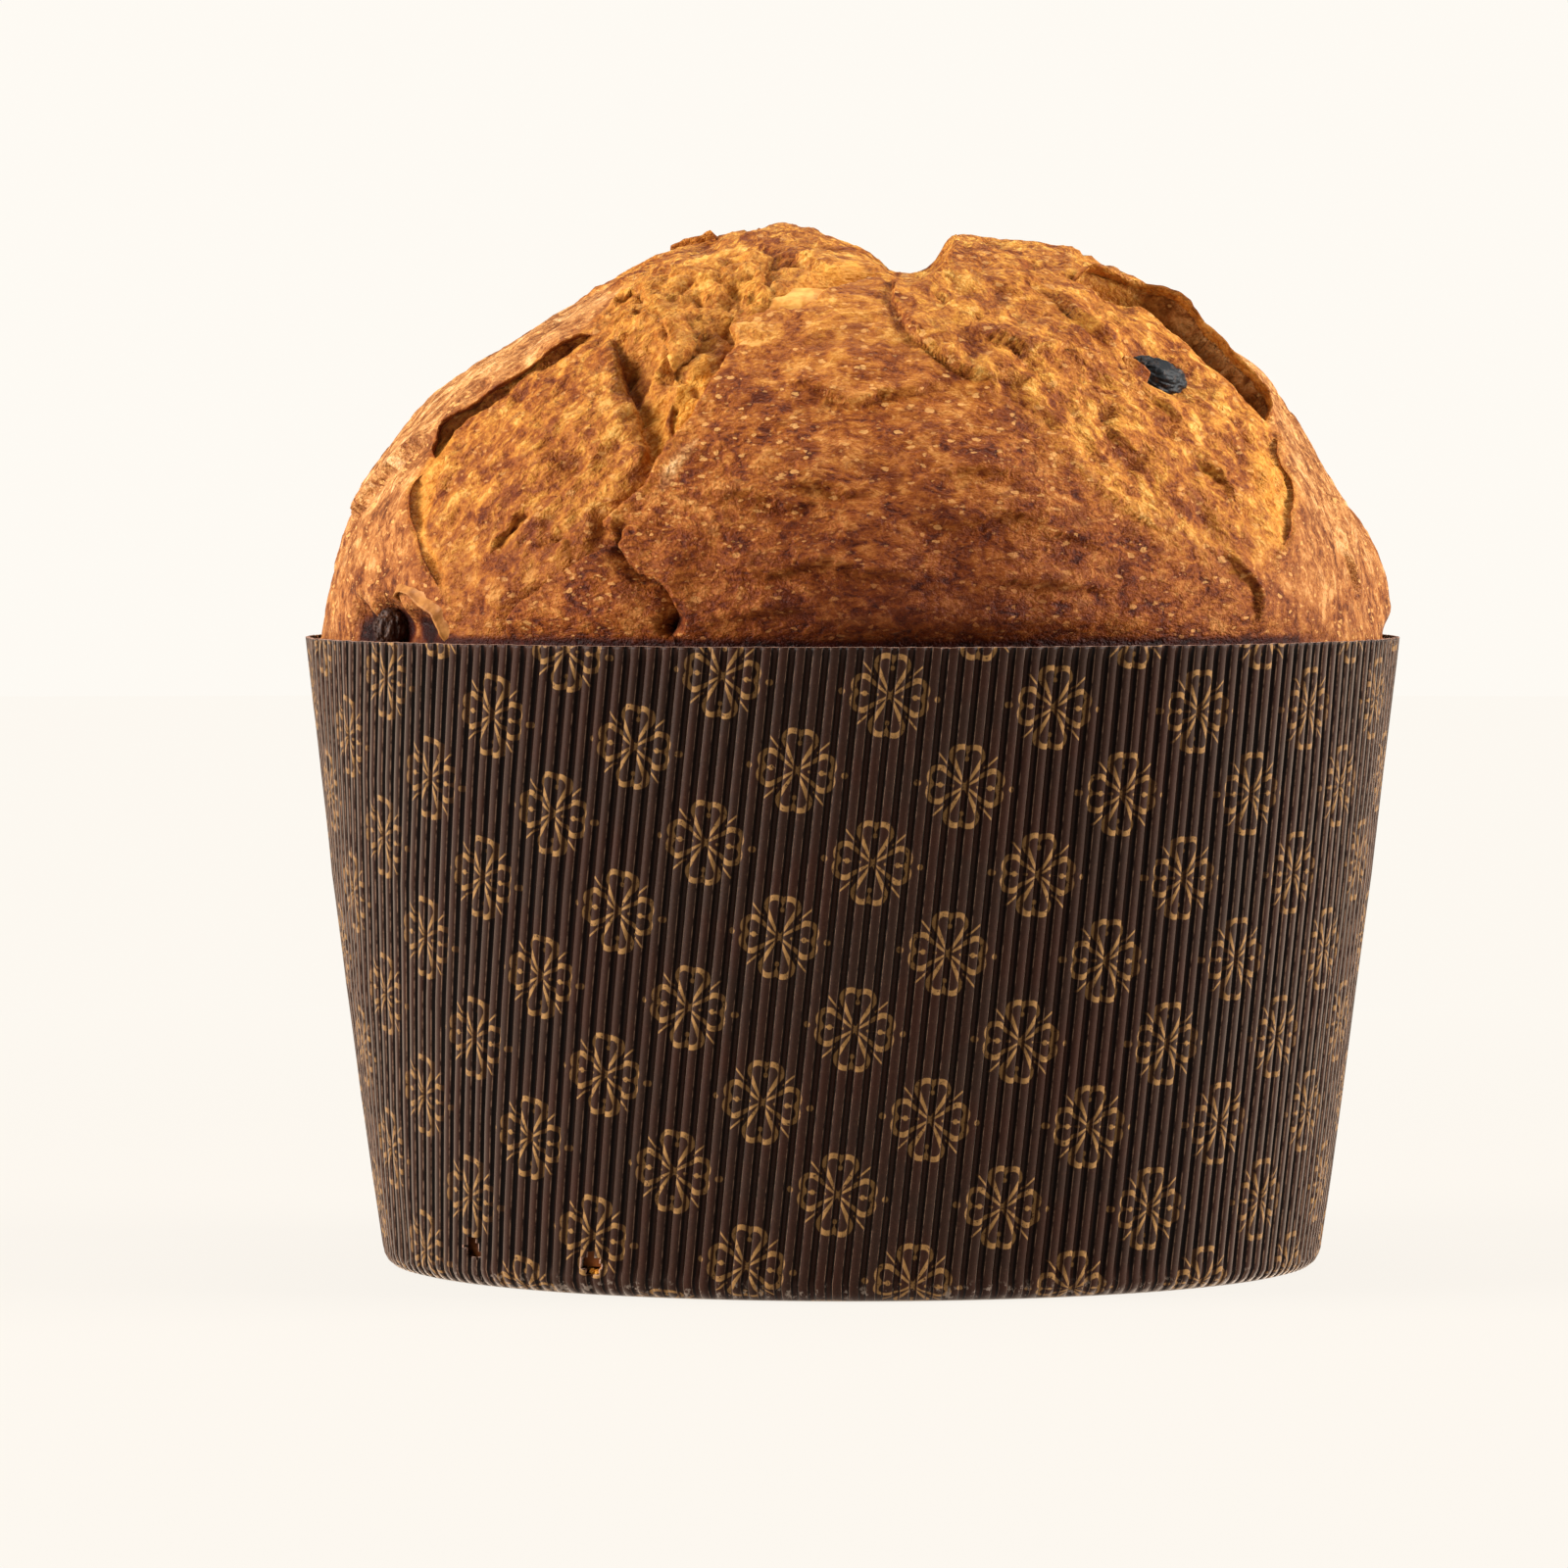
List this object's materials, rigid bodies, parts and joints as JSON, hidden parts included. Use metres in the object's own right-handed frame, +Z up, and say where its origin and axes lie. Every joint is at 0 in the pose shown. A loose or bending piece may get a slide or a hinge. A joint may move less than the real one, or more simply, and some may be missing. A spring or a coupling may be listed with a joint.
{
  "type": "panettone in a paper baking mould",
  "caption": "Tall domed sweet bread with a torn cross-cut crown, raisins and candied peel, standing in a flared corrugated paper baking mould.",
  "frame": {"origin": "middle of the mould's underside, on the surface that it stands on", "axes": "+Z up along the mould's axis; -Y is the front, with the skewer holes low on its left"},
  "size_m": [0.195, 0.195, 0.1866],
  "materials": {
    "crust": "dull, rough baked crust",
    "mould_paper": "satin, corrugated, printed with gold petals",
    "liner_paper": "dull, greaseproof",
    "raisin_skin": "satin, wrinkled",
    "candied_peel": "satin, slightly glassy"
  },
  "bodies": {
    "root": {"loaf": "crust", "wall_fluting": "mould_paper", "wall_liner": "liner_paper", "base_disc": "mould_paper", "raisin_crown": "raisin_skin", "raisin_rim": "raisin_skin", "raisin_back": "raisin_skin", "candied_peel_rim": "candied_peel", "candied_peel_crown": "candied_peel", "candied_peel_back": "candied_peel"}
  },
  "joints": []
}
